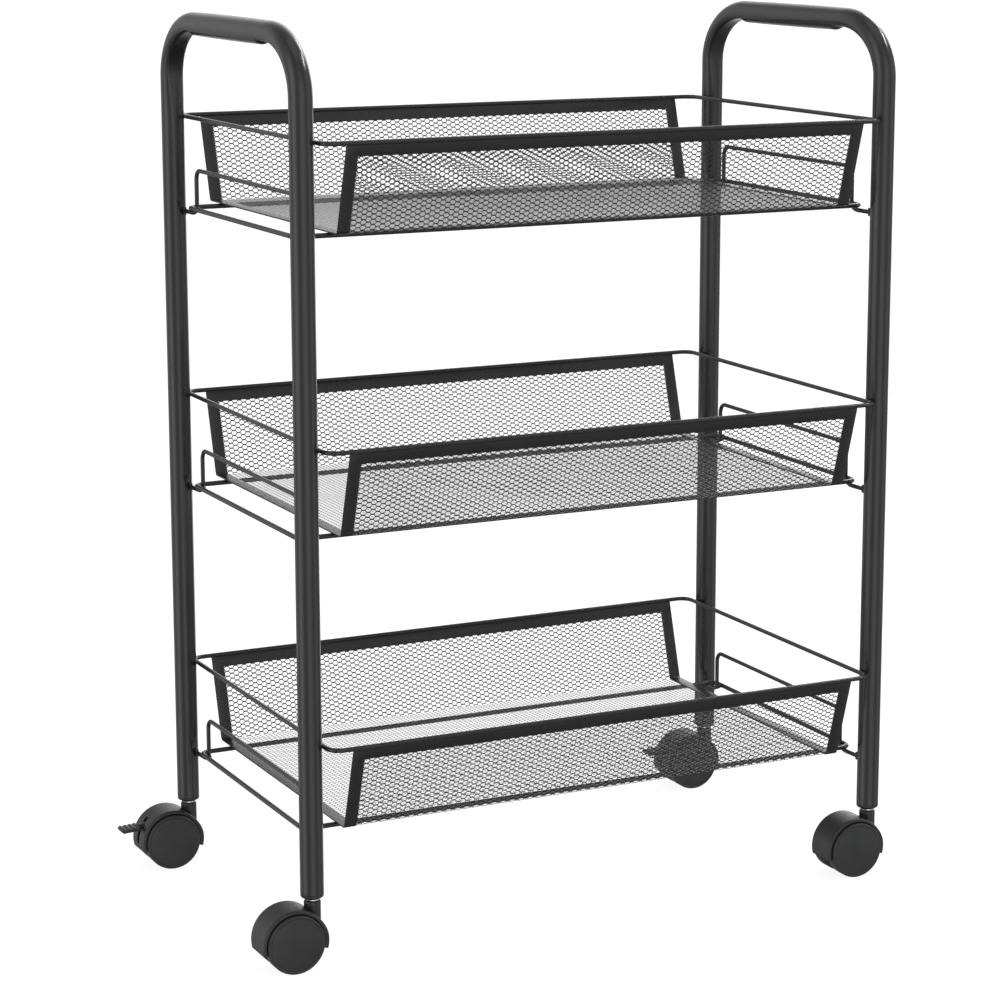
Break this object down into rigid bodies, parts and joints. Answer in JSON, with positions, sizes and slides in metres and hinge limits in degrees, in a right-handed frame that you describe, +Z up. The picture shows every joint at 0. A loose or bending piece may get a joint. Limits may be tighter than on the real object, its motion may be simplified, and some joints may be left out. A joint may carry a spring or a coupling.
{
  "type": "rolling pantry cart",
  "caption": "Tall narrow cart with bent-tube end frames, shallow open-ended mesh trays held in wire rims, and twin-wheel swivel casters with brake pedals on the back pair.",
  "frame": {"origin": "on the floor under the middle of the whole cart's box, brake pedals included", "axes": "+Z up, +X to the cart's right along its trays, -Y towards its front"},
  "size_m": [0.5065, 0.274, 0.6312],
  "materials": {
    "tube_paint": "satin powder coat",
    "wire_paint": "satin powder coat",
    "mesh_paint": "satin powder coat",
    "strip_paint": "satin powder coat",
    "socket_plastic": "moulded",
    "zinc_steel": "bright zinc plating",
    "housing_plastic": "satin moulded",
    "wheel_plastic": "fine moulded texture",
    "lever_plastic": "satin moulded"
  },
  "bodies": {
    "cart_frame": {"end_frame_left": "tube_paint", "end_frame_right": "tube_paint", "rim_wire_top": "wire_paint", "base_wire_top": "wire_paint", "tray_mesh_top": "mesh_paint", "guard_left_top": "wire_paint", "floor_strip_left_top": "strip_paint", "guard_right_top": "wire_paint", "floor_strip_right_top": "strip_paint", "border_front_top": "strip_paint", "border_back_top": "strip_paint", "rim_wire_middle": "wire_paint", "base_wire_middle": "wire_paint", "tray_mesh_middle": "mesh_paint", "guard_left_middle": "wire_paint", "floor_strip_left_middle": "strip_paint", "guard_right_middle": "wire_paint", "floor_strip_right_middle": "strip_paint", "border_front_middle": "strip_paint", "border_back_middle": "strip_paint", "rim_wire_bottom": "wire_paint", "base_wire_bottom": "wire_paint", "tray_mesh_bottom": "mesh_paint", "guard_left_bottom": "wire_paint", "floor_strip_left_bottom": "strip_paint", "guard_right_bottom": "wire_paint", "floor_strip_right_bottom": "strip_paint", "border_front_bottom": "strip_paint", "border_back_bottom": "strip_paint", "stem_socket_front_left": "socket_plastic", "caster_stem_front_left": "zinc_steel", "stem_socket_front_right": "socket_plastic", "caster_stem_front_right": "zinc_steel", "stem_socket_back_left": "socket_plastic", "caster_stem_back_left": "zinc_steel", "stem_socket_back_right": "socket_plastic", "caster_stem_back_right": "zinc_steel"},
    "caster_front_left": {"caster_housing_front_left": "housing_plastic", "axle_front_left": "zinc_steel"},
    "wheel_front_front_left": {"wheel_front_front_left": "wheel_plastic"},
    "wheel_back_front_left": {"wheel_back_front_left": "wheel_plastic"},
    "caster_front_right": {"caster_housing_front_right": "housing_plastic", "axle_front_right": "zinc_steel"},
    "wheel_front_front_right": {"wheel_front_front_right": "wheel_plastic"},
    "wheel_back_front_right": {"wheel_back_front_right": "wheel_plastic"},
    "caster_back_left": {"caster_housing_back_left": "housing_plastic", "axle_back_left": "zinc_steel"},
    "wheel_front_back_left": {"wheel_front_back_left": "wheel_plastic"},
    "wheel_back_back_left": {"wheel_back_back_left": "wheel_plastic"},
    "brake_lever_back_left": {"brake_lever_back_left": "lever_plastic"},
    "caster_back_right": {"caster_housing_back_right": "housing_plastic", "axle_back_right": "zinc_steel"},
    "wheel_front_back_right": {"wheel_front_back_right": "wheel_plastic"},
    "wheel_back_back_right": {"wheel_back_back_right": "wheel_plastic"},
    "brake_lever_back_right": {"brake_lever_back_right": "lever_plastic"}
  },
  "joints": [
    {"name": "swivel_front_left", "type": "hinge", "parent": "cart_frame", "child": "caster_front_left", "pos_m": [-0.19905, -0.121, 0.045], "axis": [0, 0, 1], "continuous": true},
    {"name": "spin_front_front_left", "type": "hinge", "parent": "caster_front_left", "child": "wheel_front_front_left", "pos_m": [-0.21605, -0.121, 0.0205], "axis": [0, 1, 0], "continuous": true},
    {"name": "spin_back_front_left", "type": "hinge", "parent": "caster_front_left", "child": "wheel_back_front_left", "pos_m": [-0.21605, -0.121, 0.0205], "axis": [0, 1, 0], "continuous": true},
    {"name": "swivel_front_right", "type": "hinge", "parent": "cart_frame", "child": "caster_front_right", "pos_m": [0.24535, -0.121, 0.045], "axis": [0, 0, 1], "continuous": true},
    {"name": "spin_front_front_right", "type": "hinge", "parent": "caster_front_right", "child": "wheel_front_front_right", "pos_m": [0.22835, -0.121, 0.0205], "axis": [0, 1, 0], "continuous": true},
    {"name": "spin_back_front_right", "type": "hinge", "parent": "caster_front_right", "child": "wheel_back_front_right", "pos_m": [0.22835, -0.121, 0.0205], "axis": [0, 1, 0], "continuous": true},
    {"name": "swivel_back_left", "type": "hinge", "parent": "cart_frame", "child": "caster_back_left", "pos_m": [-0.19905, 0.121, 0.045], "axis": [0, 0, 1], "continuous": true},
    {"name": "spin_front_back_left", "type": "hinge", "parent": "caster_back_left", "child": "wheel_front_back_left", "pos_m": [-0.21605, 0.121, 0.0205], "axis": [0, 1, 0], "continuous": true},
    {"name": "spin_back_back_left", "type": "hinge", "parent": "caster_back_left", "child": "wheel_back_back_left", "pos_m": [-0.21605, 0.121, 0.0205], "axis": [0, 1, 0], "continuous": true},
    {"name": "brake_back_left", "type": "hinge", "parent": "caster_back_left", "child": "brake_lever_back_left", "pos_m": [-0.22955, 0.121, 0.0324], "axis": [0, 1, 0], "range_deg": [-12, 12]},
    {"name": "swivel_back_right", "type": "hinge", "parent": "cart_frame", "child": "caster_back_right", "pos_m": [0.24535, 0.121, 0.045], "axis": [0, 0, 1], "continuous": true},
    {"name": "spin_front_back_right", "type": "hinge", "parent": "caster_back_right", "child": "wheel_front_back_right", "pos_m": [0.22835, 0.121, 0.0205], "axis": [0, 1, 0], "continuous": true},
    {"name": "spin_back_back_right", "type": "hinge", "parent": "caster_back_right", "child": "wheel_back_back_right", "pos_m": [0.22835, 0.121, 0.0205], "axis": [0, 1, 0], "continuous": true},
    {"name": "brake_back_right", "type": "hinge", "parent": "caster_back_right", "child": "brake_lever_back_right", "pos_m": [0.21485, 0.121, 0.0324], "axis": [0, 1, 0], "range_deg": [-12, 12]}
  ]
}
